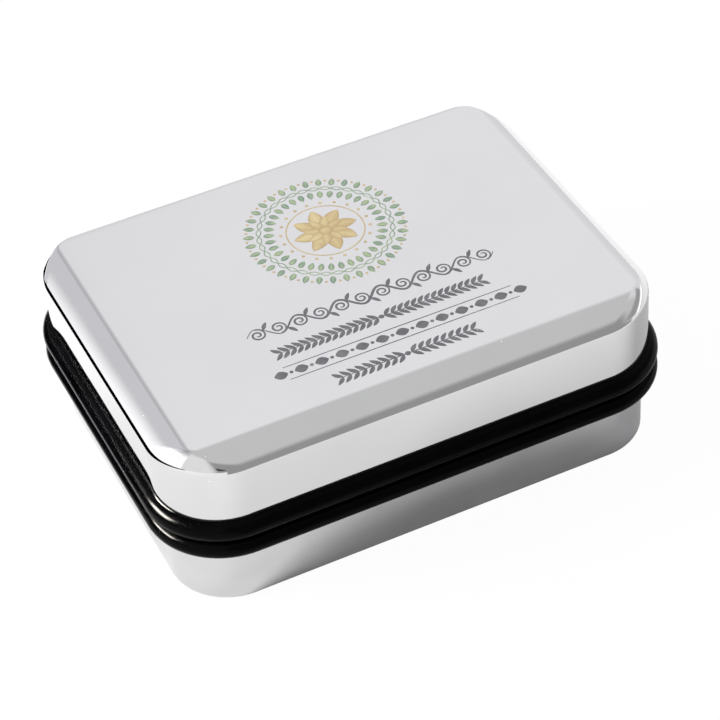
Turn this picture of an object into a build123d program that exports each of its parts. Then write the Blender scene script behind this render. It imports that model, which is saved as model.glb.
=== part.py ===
from build123d import *
import os
from math import cos, radians, sin, tan

# A hinged metal gift box for a necklace: two pressed chrome shells held in black moulded frames,
# joined at the back by a sprung steel hinge, with a velvet pad inside.
# Millimetres. +Z is up, +X runs along the long side and the hinge is at the back, at +Y.
# The origin is the middle of the underside.

# Case, measured over the straight walls of the lid
lid_length = 91.6
lid_depth = 70.2
lid_corner = 12.4
base_step = 1.25            # the wall of the base stands this far inside the wall of the lid
base_corner = 10.8
sheet = 0.5                 # thickness of the pressed metal
base_edge = 0.6             # outer radius of the bottom edge

# Heights, one on top of the other from the table upwards
base_wall_height = 11.55
lower_bead_height = 3.5
upper_bead_height = 4.25
lid_wall_height = 10.15

# Bevel between the walls of the lid and its flat panel
bevel_width = 4.78
crease_angle = 16.5         # slope of the bevel at the flat panel, in degrees
shoulder_angle = 40.0       # slope of the bevel at the shoulder, in degrees
shoulder_radius = 1.2
panel_corner = 1.0
shoulder_steps = 3
bevel_steps = 4

# Moulded frames
bead_standout = 1.7         # both beads stand out this far from the wall of the lid
bead_flat = 0.1             # narrow land along the middle of each bead
parting_gap = 0.1           # between the closed frames
lid_rim_depth = 2.25        # how far the rim of the lid sinks into its frame
base_rim_depth = 2.0
skirt = 1.4                 # thickness of the skirts inside the shells
lid_skirt_reach = 3.7       # how far each skirt runs on past its bead
base_skirt_reach = 4.5
lip_height = 1.4            # locating lip on the frame of the base
lip_gap = 0.2
fit_gap = 0.05              # between pieces that are pressed or glued together
over = 1.0                  # how far a cut runs on past the faces that it leaves

# Sprung hinge
barrel_radius = 1.0
pin_radius = 0.45
pin_gap = 0.03
leaf = 0.5
leaf_height = 4.9           # from the parting plane to the free edge of each leaf
hinge_width = 38.0
knuckle_count = 5
knuckle_gap = 0.15
pocket_gap = 0.25           # between the barrel and the frames around it
rivet_count = 4             # in each leaf
rivet_span = 30.0
rivet_height = 3.2          # from the parting plane to each row of rivets
rivet_radius = 0.6
rivet_head_radius = 1.0
rivet_head = 0.4
rivet_round = 0.25
spring = 0.3
spring_width = 7.0
spring_reach = 3.1          # from the parting plane to each end of the spring
spring_bow = 1.2            # how far its middle stands in from the leaf of the base
spring_ledge = 0.8

# Lining and padding
board = 1.2
lining = 0.9
lining_gap = 0.4            # above the lip, and below the parting plane
lid_lining_top = 9.2        # above the upper bead
lid_pad = 4.2
satin = 0.35
lid_pad_round = 2.0
pad_gap = 0.3               # between the pad of the lid and the lining
felt = 0.8
insert_foam_height = 9.5
velvet = 0.5
insert_round = 2.5
insert_gap = 0.6            # between the insert and the lining
slit_width = 1.2
slit_length = 14.0
slit_depth = 5.0
slit_from_side = 15.0       # from the middle of each slit to the wall of the base
slit_from_back = 15.0
slit_angle = 45.0
ribbon = 0.3
ribbon_width = 8.0
ribbon_reach = 14.0

# Worked out from the sizes above
base_length = lid_length - 2 * base_step
base_depth = lid_depth - 2 * base_step
parting = base_wall_height + lower_bead_height
bead_top = parting + upper_bead_height
shoulder = bead_top + lid_wall_height
half_gap = parting_gap / 2
lid_rim = bead_top - lid_rim_depth
base_rim = base_wall_height + base_rim_depth
frame_inset = sheet + fit_gap + skirt
hinge_y = lid_depth / 2 + bead_standout - barrel_radius
lid_inner_y = lid_depth / 2 - frame_inset
base_inner_y = base_depth / 2 - frame_inset
bevel_radius = (
    bevel_width - shoulder_radius * (1 - sin(radians(shoulder_angle)))
) / (sin(radians(shoulder_angle)) - sin(radians(crease_angle)))


def span(x0, x1, y0, y1, z0, z1):
    """Block between two corners."""
    middle = Pos((x0 + x1) / 2, (y0 + y1) / 2, (z0 + z1) / 2)
    return middle * Box(abs(x1 - x0), abs(y1 - y0), abs(z1 - z0))


def rod(radius, x0, x1, y, z):
    """Round bar along X."""
    return Pos((x0 + x1) / 2, y, z) * Rot(0, 90, 0) * Cylinder(radius, abs(x1 - x0))


def stud(radius, x, y0, y1, z):
    """Round bar along Y."""
    return Pos(x, (y0 + y1) / 2, z) * Rot(90, 0, 0) * Cylinder(radius, abs(y1 - y0))


def slab(length, depth, corner, inset, bottom, top):
    """Upright block with rounded corners, set in from an outline."""
    outline = RectangleRounded(length - 2 * inset, depth - 2 * inset, corner - inset)
    return Pos(0, 0, bottom) * extrude(outline, top - bottom)


def lid_slab(inset, bottom, top):
    return slab(lid_length, lid_depth, lid_corner, inset, bottom, top)


def base_slab(inset, bottom, top):
    return slab(base_length, base_depth, base_corner, inset, bottom, top)


def soften(block, radius, ends):
    """The block with the edges of its lowest (0) or highest (-1) face rounded."""
    faces = block.faces().sort_by(Axis.Z)
    edges = [edge for end in ends for edge in faces[end].edges()]
    return fillet(edges, radius)


def bead(bottom, top):
    """Solid block whose side is a round bead."""
    block = lid_slab(-bead_standout, bottom, top)
    return soften(block, (top - bottom - bead_flat) / 2, (0, -1))


# Shells

def bevel_point(slope):
    """Inset and height above the shoulder where the bevel has the given slope."""
    turn = max(slope, shoulder_angle)
    inset = shoulder_radius * (1 - sin(radians(turn)))
    height = shoulder_radius * cos(radians(turn))
    if slope < shoulder_angle:
        inset += bevel_radius * (sin(radians(shoulder_angle)) - sin(radians(slope)))
        height += bevel_radius * (cos(radians(slope)) - cos(radians(shoulder_angle)))
    return inset, height


def lid_section(inset, wall, height):
    """Outline of the lid at one height, with corners that tighten towards the panel."""
    share = inset / bevel_width
    corner = lid_corner + (panel_corner - lid_corner) * share
    inside = 2 * (inset + wall)
    outline = RectangleRounded(lid_length - inside, lid_depth - inside, corner - wall)
    return Pos(0, 0, height) * outline


bevel_slopes = [
    90.0 + (shoulder_angle - 90.0) * step / shoulder_steps for step in range(shoulder_steps + 1)
] + [
    shoulder_angle + (crease_angle - shoulder_angle) * step / bevel_steps
    for step in range(1, bevel_steps + 1)
]
bevel_rise = bevel_point(crease_angle)[1]
panel_top = shoulder + bevel_rise


def pressed_lid(wall, bottom):
    """Solid form of the lid, made smaller by a wall thickness on every side."""
    sections = [lid_section(0, wall, bottom)]
    for slope in bevel_slopes:
        inset, height = bevel_point(slope)
        sideways = wall * sin(radians(slope))
        down = wall * cos(radians(slope))
        if slope == bevel_slopes[-1]:
            sideways = wall * tan(radians(crease_angle) / 2)
            down = wall
        sections.append(lid_section(inset, sideways, shoulder + height - down))
    return loft(sections, ruled=True)


def make_lid_shell():
    return pressed_lid(0, lid_rim) - pressed_lid(sheet, lid_rim - over)


def make_base_shell():
    outside = soften(base_slab(0, 0, base_rim), base_edge, (0,))
    return outside - base_slab(sheet, sheet, base_rim + over)


# Hinge

def knuckle_ends(index):
    """Where one knuckle starts and stops along X."""
    pitch = (hinge_width + knuckle_gap) / knuckle_count
    start = -hinge_width / 2 + index * pitch
    return start, start + pitch - knuckle_gap


def rivet_places():
    step = rivet_span / (rivet_count - 1)
    return [-rivet_span / 2 + index * step for index in range(rivet_count)]


def hinge_leaf(side, wall_y, knuckles):
    """Leaf of the lid (side 1) or of the base (side -1), bent against its frame."""
    half = hinge_width / 2
    near = parting + side * half_gap
    flat = near + side * leaf
    back = hinge_y - barrel_radius - pocket_gap
    outer = wall_y - fit_gap
    inner = outer - leaf
    end = parting + side * leaf_height
    body = span(-half, half, inner, back, near, flat)
    body += span(-half, half, inner, outer, near, end)
    for index in knuckles:
        start, stop = knuckle_ends(index)
        body += rod(barrel_radius, start, stop, hinge_y, parting)
        body += span(start, stop, back, hinge_y - pin_radius, near, flat)
    body -= rod(pin_radius + pin_gap, -half - over, half + over, hinge_y, parting)
    ledge = parting + side * (spring_reach + fit_gap)
    reach = spring_width / 2
    body += span(-reach, reach, inner - spring_ledge, inner, ledge, ledge + side * leaf)
    for x in rivet_places():
        row = parting + side * rivet_height
        body -= stud(rivet_radius + fit_gap, x, inner - over, outer + over, row)
    return body


def rivets(side, wall_y):
    """Row of rivets, each with its round head on the leaf and its tail flush with the skirt."""
    row = parting + side * rivet_height
    leaf_face = wall_y - fit_gap - leaf
    skirt_face = wall_y + skirt
    group = []
    for x in rivet_places():
        head = stud(rivet_head_radius, x, leaf_face - rivet_head, leaf_face, row)
        front = head.faces().sort_by(Axis.Y)[0]
        head = fillet(front.edges(), rivet_round)
        shank = stud(rivet_radius, x, leaf_face, skirt_face, row)
        tail = stud(rivet_head_radius, x, skirt_face - rivet_head, skirt_face, row)
        group.append(head + shank + tail)
    return Compound(group)


def hinge_cuts(side, wall_y):
    """Everything that the hinge takes out of one frame."""
    half = hinge_width / 2 + fit_gap
    cut = rod(barrel_radius + pocket_gap, -half, half, hinge_y, parting)
    near = parting - side * half_gap
    far = parting + side * (half_gap + leaf + fit_gap)
    cut += span(-half, half, wall_y - over, hinge_y, near, far)
    row = parting + side * rivet_height
    outer = wall_y + skirt
    for x in rivet_places():
        cut += stud(rivet_radius + fit_gap, x, wall_y - over, outer + fit_gap / 2, row)
        cut += stud(
            rivet_head_radius + fit_gap, x, outer - rivet_head - fit_gap, outer + fit_gap / 2, row
        )
    return cut


def make_pin():
    half = hinge_width / 2
    return rod(pin_radius, -half, half, hinge_y, parting)


def make_spring():
    """Bowed strip of spring steel that pushes the two leaves apart past the middle."""
    upper = lid_inner_y - 2 * fit_gap - leaf
    lower = base_inner_y - 2 * fit_gap - leaf
    middle = base_inner_y - leaf - spring_bow
    top = parting + spring_reach
    bottom = parting - spring_reach
    outside = ThreePointArc((upper, top), (middle, parting), (lower, bottom))
    inside = ThreePointArc(
        (upper - spring, top), (middle - spring, parting), (lower - spring, bottom)
    )
    ends = [
        Line((upper, top), (upper - spring, top)),
        Line((lower, bottom), (lower - spring, bottom)),
    ]
    profile = Plane.YZ * make_face([outside, inside] + ends)
    return extrude(profile, spring_width / 2, both=True)


# Frames

def make_lid_frame():
    low = parting + half_gap
    body = bead(low, bead_top)
    body += lid_slab(sheet + fit_gap, low, bead_top + lid_skirt_reach)
    channel = lid_slab(-fit_gap, lid_rim, bead_top + over) - lid_slab(
        sheet + fit_gap, lid_rim, bead_top + over
    )
    body -= channel
    body -= lid_slab(frame_inset, low - over, bead_top + lid_skirt_reach + over)
    return body - hinge_cuts(1, lid_inner_y)


def make_base_frame():
    high = parting - half_gap
    body = bead(base_wall_height, high)
    body += lid_slab(frame_inset + lip_gap, high - over, parting + lip_height)
    body += base_slab(sheet + fit_gap, base_wall_height - base_skirt_reach, high)
    channel = base_slab(-fit_gap, base_wall_height - over, base_rim) - base_slab(
        sheet + fit_gap, base_wall_height - over, base_rim
    )
    body -= channel
    body -= base_slab(
        frame_inset, base_wall_height - base_skirt_reach - over, parting + lip_height + over
    )
    half = hinge_width / 2 + lip_gap
    body -= span(-half, half, 0, lid_depth / 2, high, parting + lip_height + over)
    return body - hinge_cuts(-1, base_inner_y)


# Lining and pads

def hinge_window(side, wall_y):
    """Opening in a lining that leaves the hinge free."""
    half = hinge_width / 2 + lining_gap
    far = parting + side * (leaf_height + lining_gap)
    return span(-half, half, wall_y - lining - over, wall_y, parting - side * lip_height, far)


lining_inset = frame_inset + fit_gap
lid_pad_inset = lining_inset + lining + pad_gap
lid_board_low = panel_top - sheet - fit_gap - board
lid_pad_low = lid_board_low - fit_gap - lid_pad
floor_top = sheet + fit_gap + felt
insert_inset = lining_inset + lining + insert_gap
insert_low = floor_top + fit_gap
foam_low = insert_low + board
foam_top = foam_low + insert_foam_height
insert_top = foam_top + velvet


def make_lid_lining():
    low = parting + lip_height + lining_gap
    high = bead_top + lid_lining_top
    body = lid_slab(lining_inset, low, high)
    body -= lid_slab(lining_inset + lining, low - over, high + over)
    return body - hinge_window(1, lid_inner_y)


def make_lid_board():
    inset = bevel_width + sheet
    outline = RectangleRounded(lid_length - 2 * inset, lid_depth - 2 * inset, panel_corner)
    return Pos(0, 0, lid_board_low) * extrude(outline, board)


def lid_pad_form(wall):
    inset = lid_pad_inset + wall
    block = lid_slab(inset, lid_pad_low + wall, lid_board_low - fit_gap)
    return soften(block, lid_pad_round - wall, (0,))


def make_lid_foam():
    return lid_pad_form(satin)


def make_lid_satin():
    return lid_pad_form(0) - lid_pad_form(satin)


def make_base_felt():
    return base_slab(sheet + fit_gap, sheet + fit_gap, floor_top)


def make_base_lining():
    high = parting - lining_gap
    body = base_slab(lining_inset, insert_low, high)
    body -= base_slab(lining_inset + lining, insert_low - over, high + over)
    return body - hinge_window(-1, base_inner_y)


def slits():
    """Two slanted slits that take the ends of the chain."""
    cuts = []
    for side in (-1, 1):
        place = Pos(
            side * (base_length / 2 - slit_from_side),
            base_depth / 2 - slit_from_back,
            insert_top - slit_depth / 2,
        )
        cuts.append(place * Rot(0, 0, side * slit_angle) * Box(slit_width, slit_length, slit_depth))
    return cuts[0] + cuts[1]


def insert_form(wall, low):
    block = base_slab(insert_inset + wall, low, insert_top - wall)
    return soften(block, insert_round - wall, (-1,))


def make_insert_board():
    return base_slab(insert_inset + velvet, insert_low, foam_low)


def make_insert_foam():
    return insert_form(velvet, foam_low) - slits()


def make_insert_velvet():
    return insert_form(0, insert_low) - insert_form(velvet, insert_low - over) - slits()


def make_insert_ribbon():
    """Pull ribbon that comes up beside the insert and lies on it."""
    clear = (insert_gap - ribbon) / 2
    outer = base_slab(insert_inset - clear - ribbon, insert_low, insert_top + clear + ribbon)
    outer = soften(outer, insert_round + clear + ribbon, (-1,))
    inner = base_slab(insert_inset - clear, insert_low - over, insert_top + clear)
    inner = soften(inner, insert_round + clear, (-1,))
    half = ribbon_width / 2
    side = base_length / 2
    return (outer - inner) & span(
        side - insert_inset - ribbon_reach, side, -half, half, 0, insert_top + over
    )


lid_knuckles = range(1, knuckle_count, 2)
base_knuckles = range(0, knuckle_count, 2)

pieces = {
    "lid_shell": make_lid_shell(),
    "lid_frame": make_lid_frame(),
    "lid_lining": make_lid_lining(),
    "lid_board": make_lid_board(),
    "lid_foam": make_lid_foam(),
    "lid_satin": make_lid_satin(),
    "lid_hinge_leaf": hinge_leaf(1, lid_inner_y, lid_knuckles),
    "lid_rivets": rivets(1, lid_inner_y),
    "base_shell": make_base_shell(),
    "base_frame": make_base_frame(),
    "base_lining": make_base_lining(),
    "base_felt": make_base_felt(),
    "insert_board": make_insert_board(),
    "insert_foam": make_insert_foam(),
    "insert_velvet": make_insert_velvet(),
    "insert_ribbon": make_insert_ribbon(),
    "base_hinge_leaf": hinge_leaf(-1, base_inner_y, base_knuckles),
    "base_rivets": rivets(-1, base_inner_y),
    "hinge_pin": make_pin(),
    "snap_spring": make_spring(),
}

os.makedirs("parts", exist_ok=True)
for name, shape in pieces.items():
    export_step(shape, f"parts/{name}.step")
print("overall", (lid_length + 2 * bead_standout, lid_depth + 2 * bead_standout, panel_top))
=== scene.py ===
import bpy
import numpy as np
from mathutils import Matrix, Vector


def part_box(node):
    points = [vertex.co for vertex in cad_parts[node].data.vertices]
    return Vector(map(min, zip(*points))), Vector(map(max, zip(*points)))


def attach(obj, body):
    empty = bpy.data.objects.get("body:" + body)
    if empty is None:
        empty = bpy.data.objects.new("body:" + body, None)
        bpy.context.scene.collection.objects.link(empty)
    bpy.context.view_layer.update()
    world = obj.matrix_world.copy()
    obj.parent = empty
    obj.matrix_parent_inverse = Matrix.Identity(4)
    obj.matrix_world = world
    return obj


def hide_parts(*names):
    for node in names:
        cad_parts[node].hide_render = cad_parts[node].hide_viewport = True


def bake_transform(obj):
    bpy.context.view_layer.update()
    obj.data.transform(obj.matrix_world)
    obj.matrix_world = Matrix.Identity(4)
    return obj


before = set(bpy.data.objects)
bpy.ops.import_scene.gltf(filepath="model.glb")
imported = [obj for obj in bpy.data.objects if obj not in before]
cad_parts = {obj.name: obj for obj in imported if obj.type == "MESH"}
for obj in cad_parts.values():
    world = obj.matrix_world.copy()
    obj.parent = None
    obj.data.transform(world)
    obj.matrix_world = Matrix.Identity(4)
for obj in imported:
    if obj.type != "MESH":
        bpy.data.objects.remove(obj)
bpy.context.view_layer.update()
mm = 0.001
white = (1.0, 1.0, 1.0)


def nodeBox(name):
    # lowest and highest corner of a CAD node, in millimetres
    low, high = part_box(name)
    return np.array(low) / mm, np.array(high) / mm


lidLow, lidHigh = nodeBox("lid_shell")
print("frame loaded, lid panel at", round(lidHigh[2], 2), "mm")


# Camera and stage

cameraView = {
    "azimuth": -22.55,         # degrees, from straight in front towards the left
    "elevation": 41.425,
    "roll": -4.691,
    "distance": 458.92,        # from the aim to the lens, mm
    "aimHeight": 15.93,        # aim on the vertical through the middle, before the pan
    "panRight": 2.381,
    "panUp": -3.604,
    "focalPixels": 2609.6,     # focal length in pixels of the 720 pixel wide picture
    "pictureWidth": 720,
    "sensor": 36.0,            # mm
    "nearest": 10.0,           # what is closer to the lens isn't drawn, mm
}


def unitDirection(azimuth, elevation):
    # unit vector to an azimuth (degrees from +Y towards +X) and an elevation
    turn = np.radians(azimuth)
    rise = np.radians(elevation)
    return np.array([np.sin(turn) * np.cos(rise), np.cos(turn) * np.cos(rise), np.sin(rise)])


def makeCamera(view):
    # the lens looks down -back; right and up are turned about it by the roll
    side = np.radians(view["azimuth"])
    back = unitDirection(180 - view["azimuth"], view["elevation"])
    flat = np.array([np.cos(side), np.sin(side), 0.0])
    tall = np.cross(back, flat)
    turn = np.radians(view["roll"])
    right = flat * np.cos(turn) + tall * np.sin(turn)
    up = tall * np.cos(turn) - flat * np.sin(turn)
    eye = np.array([0, 0, view["aimHeight"]]) + right * view["panRight"] + up * view["panUp"]
    eye = (eye + back * view["distance"]) * mm
    data = bpy.data.cameras.new("studioCamera")
    data.sensor_width = view["sensor"]
    data.lens = view["focalPixels"] / view["pictureWidth"] * view["sensor"]
    data.clip_start = view["nearest"] * mm
    camera = addObject("studioCamera", data)
    turned = np.column_stack([right, up, back, eye])
    camera.matrix_world = Matrix([*turned.tolist(), [0, 0, 0, 1]])
    bpy.context.scene.camera = camera


class NodeMaker:
    # adds nodes to a tree and joins them, so that a material reads as a list of steps

    def __init__(self, tree):
        self.tree = tree

    def add(self, kind, values=None, **settings):
        node = self.tree.nodes.new(kind)
        for name, value in settings.items():
            setattr(node, name, value)
        for name, value in (values or {}).items():
            self.feed(node.inputs[name], value)
        return node

    def feed(self, socket, value):
        # value: a socket of another node, a number, a vector, or red, green and blue
        if isinstance(value, bpy.types.NodeSocket):
            self.tree.links.new(value, socket)
        elif socket.type == "RGBA":
            socket.default_value = (*value, 1)
        else:
            socket.default_value = value

    def math(self, operation, *values):
        return self.add("ShaderNodeMath", dict(enumerate(values)), operation=operation).outputs[0]

    def ramp(self, value, fromMin, fromMax, toMin=0.0, toMax=1.0):
        # smooth step of value between two levels
        levels = {"Value": value, "From Min": fromMin, "From Max": fromMax,
                  "To Min": toMin, "To Max": toMax}
        return self.add("ShaderNodeMapRange", levels, interpolation_type="SMOOTHSTEP").outputs[0]

    def mix(self, share, low, high):
        # two colours, mixed by a share from 0 to 1
        colours = {0: share, 6: low, 7: high}
        return self.add("ShaderNodeMix", colours, data_type="RGBA", clamp_factor=True).outputs[2]

    def fade(self, share, first, second):
        # two shaders, mixed by a share from 0 to 1
        return self.add("ShaderNodeMixShader", {0: share, 1: first, 2: second}).outputs[0]

    def shine(self, kind, colour, strength=1.0):
        # an emission or a background
        return self.add(kind, {"Color": colour, "Strength": strength}).outputs[0]

    def noise(self, place, scale, detail, roughness=0.5):
        # scale in waves per metre
        values = {"Vector": place, "Scale": scale, "Detail": detail, "Roughness": roughness}
        return self.add("ShaderNodeTexNoise", values).outputs[0]

    def bump(self, shader, height):
        # height in metres
        node = self.add("ShaderNodeBump", {"Height": height, "Distance": 1.0})
        self.feed(shader.inputs["Normal"], node.outputs[0])


def newGroup(name, vector, numbers, outputs):
    # a node group of these sockets, its maker and what it is given; vector may be left empty
    tree = bpy.data.node_groups.new(name, "ShaderNodeTree")
    if vector:
        tree.interface.new_socket(vector, in_out="INPUT", socket_type="NodeSocketVector")
    for way, sockets in (("INPUT", numbers), ("OUTPUT", outputs)):
        for socket in sockets:
            tree.interface.new_socket(socket, in_out=way, socket_type="NodeSocketFloat")
    maker = NodeMaker(tree)
    return tree, maker, maker.add("NodeGroupInput").outputs


# Light of the studio. Reflections see soft-edged panels, each painted over the ones before it:
# azimuths and elevations in degrees, softness of the four edges, radiance and tint.
# Cloth, print and floor see an even dome and three large lamps, which reflections leave out.
studioLight = {
    "overhead": 0.77,
    "panels": [
        # name, azimuths, elevations, softness left, right, below, above, radiance, tint
        ("darkGap", (-14, 13), (-30, 54), (4, 4, 6, 8), 0.66, "cool"),
        ("backBox", (9, 100), (-30, 56), (10, 10, 8, 9), 1.10, "pale"),
        ("backRight", (58, 100), (-30, 50), (12, 10, 8, 12), 0.97, "pale"),
        ("backLow", (6, 60), (-30, 14), (8, 12, 8, 9), 0.94, "pale"),
        ("backLeft", (-46, -7), (-30, 54), (6, 4, 8, 8), 0.84, "cool"),
        ("rightDark", (78, 132), (6, 26), (6, 6, 3, 6), 0.46, "plain"),
        ("rightLow", (70, 142), (-6, 4), (10, 8, 2, 2), 1.7, "plain"),
        ("frontDark", (132, 204), (-40, 51), (10, 6, 6, 5), 0.42, "plain"),
        ("frontLeft", (-152, -106), (-40, 60), (6, 2, 6, 8), 1.06, "plain"),
        ("upperGap", (-88, -20), (50, 70), (8, 8, 8, 6), 0.57, "cool"),
        ("leftBox", (-106, -37.5), (-4, 42), (2, 8, 3, 11), 1.6, "plain"),
        ("leftKey", (-82, -48), (20, 36), (4, 4, 4, 4), 360.0, "warm"),
        ("lensSpot", (190, 202), (26, 33), (2, 2, 2, 2), 0.05, "plain"),
    ],
    "tints": {"plain": white, "pale": (0.995, 0.99, 1.012),
              "cool": (0.99, 0.985, 1.02), "warm": (1.0, 0.95, 0.86)},
    "dome": (0.452, 0.45, 0.45),
    "lamps": {
        # azimuth, elevation, distance, half angle as seen from the box, radiance, colour
        "leftLamp": (-75.8, 25.1, 2400.0, 12.2, 41.0, (1.0, 1.0, 0.99)),
        "backLamp": (-16.0, 33.3, 1200.0, 17.1, 4.2, (1.0, 1.0, 0.98)),
        "rightLamp": (48.6, 32.4, 1200.0, 20.7, 2.1, (0.98, 1.0, 1.03)),
    },
}


softEdges = ("Soft Left", "Soft Right", "Soft Below", "Soft Above")


def makePanelGroup():
    # mask of one panel: the direction is turned until the panel's middle lies at azimuth 0, and
    # mask = rise(azimuth) * fall(azimuth) * rise(elevation) * fall(elevation), each a smooth step
    numbers = ("Azimuth", "Elevation", "Half Width", "Half Height", *softEdges)
    tree, maker, given = newGroup("softPanel", "Direction", numbers, ["Mask"])
    turned = maker.add("ShaderNodeVectorRotate",
                       {"Vector": given["Direction"], "Angle": given["Azimuth"]}, rotation_type="Z_AXIS")
    parts = maker.add("ShaderNodeSeparateXYZ", {"Vector": turned.outputs[0]}).outputs
    across = maker.math("ARCTAN2", parts["X"], parts["Y"])
    height = maker.math("SUBTRACT", maker.math("ARCSINE", parts["Z"]), given["Elevation"])
    masks = []
    for angle, half, before, after in ((across, "Half Width", "Soft Left", "Soft Right"),
                                       (height, "Half Height", "Soft Below", "Soft Above")):
        low = maker.math("MULTIPLY", given[half], -1.0)
        rise = maker.ramp(angle, maker.math("SUBTRACT", low, given[before]),
                          maker.math("ADD", low, given[before]))
        fall = maker.ramp(angle, maker.math("ADD", given[half], given[after]),
                          maker.math("SUBTRACT", given[half], given[after]))
        masks.append(maker.math("MULTIPLY", rise, fall))
    maker.add("NodeGroupOutput", {"Mask": maker.math("MULTIPLY", *masks)})
    return tree


def makeWorld(light):
    # reflections: overhead, with each panel's colour mixed in by its mask; anything beyond a matt
    # surface: the dome; the lens itself sees plain white
    world = bpy.data.worlds.new("studio")
    bpy.context.scene.world = world
    world.use_nodes = True
    world.cycles.sampling_method = "NONE"
    world.node_tree.nodes.clear()
    maker = NodeMaker(world.node_tree)
    direction = maker.add("ShaderNodeTexCoord").outputs["Generated"]
    group = makePanelGroup()
    colour = [light["overhead"]] * 3
    for name, azimuths, elevations, softness, radiance, tint in light["panels"]:
        degrees = {"Azimuth": sum(azimuths) / 2, "Elevation": sum(elevations) / 2,
                   "Half Width": (azimuths[1] - azimuths[0]) / 2,
                   "Half Height": (elevations[1] - elevations[0]) / 2, **dict(zip(softEdges, softness))}
        angles = {socket: float(np.radians(angle)) for socket, angle in degrees.items()}
        panel = maker.add("ShaderNodeGroup", {"Direction": direction, **angles}, node_tree=group, label=name)
        painted = [radiance * v for v in light["tints"][tint]]
        colour = maker.mix(panel.outputs["Mask"], colour, painted)
    path = maker.add("ShaderNodeLightPath").outputs
    matt = maker.math("MINIMUM", path["Diffuse Depth"], 1.0)
    surface = maker.shine("ShaderNodeBackground", colour)
    for share, seen in ((matt, light["dome"]), (path["Is Camera Ray"], white)):
        surface = maker.fade(share, surface, maker.shine("ShaderNodeBackground", seen))
    maker.add("ShaderNodeOutputWorld", {"Surface": surface})


def hideFrom(obj, *rays):
    # keeps an object out of these kinds of rays
    for ray in rays:
        setattr(obj, "visible_" + ray, False)


def makeLamp(name, azimuth, elevation, distance, halfAngle, radiance, colour):
    # round soft lamp: power = radiance * pi * area of the disc
    distance = distance * mm
    radius = distance * np.tan(np.radians(halfAngle))
    towards = unitDirection(azimuth, elevation)
    data = bpy.data.lights.new(name, "AREA")
    data.shape = "DISK"
    data.size = 2 * radius
    data.energy = radiance * np.pi * np.pi * radius ** 2
    data.color = colour
    lamp = addObject(name, data)
    lamp.location = Vector(towards * distance)
    lamp.rotation_euler = Vector(towards).to_track_quat("Z", "Y").to_euler()
    hideFrom(lamp, "camera", "glossy", "transmission")


stageSizes = {
    "floorHalf": 1500.0,
    "floorColour": (0.80, 0.80, 0.80),
    "floorGlow": 0.97,           # share of plain white in what the lens sees of the floor
    "cards": {
        # upright cards that only reflections see: radiance, then x, y, lowest and highest z of each end
        "leftCard": (0.0, [(-62, 110, 0, 28), (-62, 10, 0, 28),
                           (-78, -20, 16, 30), (-112, -60, 26, 35)]),
        "farCard": (0.0, [(-190, 240, 0, 64), (-190, 110, 0, 60), (-190, 20, 0, 28)]),
        "frontCard": (0.42, [(-44, -72, 0, 31), (96, -72, 0, 31)]),
    },
}


def addStage(name, points, faces, surface):
    # a mesh of the stage, from millimetres; surface makes the nodes of its shader
    mesh = bpy.data.meshes.new(name)
    mesh.from_pydata((np.array(points) * mm).tolist(), [], faces)
    material = bpy.data.materials.new(name)
    material.use_nodes = True
    material.node_tree.nodes.clear()
    maker = NodeMaker(material.node_tree)
    maker.add("ShaderNodeOutputMaterial", {"Surface": surface(maker)})
    mesh.materials.append(material)
    obj = addObject(name, mesh)
    return obj


def makeStage(sizes):
    # a pale floor, and cards that draw the dark lines along the lid's shoulder
    def floorLook(maker):
        diffuse = maker.add("ShaderNodeBsdfDiffuse", {"Color": sizes["floorColour"]})
        seen = maker.add("ShaderNodeLightPath").outputs["Is Camera Ray"]
        glow = maker.shine("ShaderNodeEmission", white)
        return maker.fade(maker.math("MULTIPLY", seen, sizes["floorGlow"]), diffuse.outputs[0], glow)

    half = sizes["floorHalf"]
    corners = [(-half, -half, 0), (half, -half, 0), (half, half, 0), (-half, half, 0)]
    addStage("floor", corners, [(0, 1, 2, 3)], floorLook)
    for name, (radiance, ends) in sizes["cards"].items():
        ends = np.array(ends, float)
        points = np.stack([ends[:, [0, 1, 2]], ends[:, [0, 1, 3]]], 1).reshape(-1, 3)
        faces = quadsOf(np.arange(len(points)).reshape(-1, 2)).tolist()
        card = addStage(name, points, faces, lambda maker: maker.shine("ShaderNodeEmission", white, radiance))
        hideFrom(card, "camera", "diffuse", "shadow", "transmission")


# Shared mesh steps

def addObject(name, data):
    # a mesh, lamp or camera as an object of the scene
    obj = bpy.data.objects.new(name, data)
    bpy.context.scene.collection.objects.link(obj)
    return obj


def quadsOf(index, closed=False):
    # quads between neighbouring rows and columns of a grid of point numbers, which may have more
    # grids stacked before it; closed joins the last column to the first
    after = np.roll(index, -1, -1)
    if not closed:
        index, after = index[..., :-1], after[..., :-1]
    quads = [index[..., :-1, :], index[..., 1:, :], after[..., 1:, :], after[..., :-1, :]]
    return np.stack(quads, -1).reshape(-1, 4)


def addPiece(name, points, faces, material, body="", slot="", replaced=(), uv=None, smooth=True):
    # points in millimetres become a mesh that rides on a body
    mesh = bpy.data.meshes.new(name)
    mesh.from_pydata((np.asarray(points).reshape(-1, 3) * mm).tolist(), [], faces)
    mesh.validate()
    mesh.polygons.foreach_set("use_smooth", np.full(len(mesh.polygons), smooth))
    mesh.materials.append(material)
    if uv is not None:
        corners = np.empty(len(mesh.loops), int)
        mesh.loops.foreach_get("vertex_index", corners)
        layer = mesh.uv_layers.new(name="shapeUv")
        layer.data.foreach_set("uv", np.asarray(uv, float).reshape(-1, 2)[corners].ravel())
    obj = addObject(name, mesh)
    if body:
        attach(obj, body)
    if replaced:
        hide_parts(*replaced)
    return obj


def thicken(obj, thickness):
    # live wall that grows behind the faces of a skin
    wall = obj.modifiers.new("wall", "SOLIDIFY")
    wall.thickness = thickness * mm
    wall.offset = -1


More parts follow.
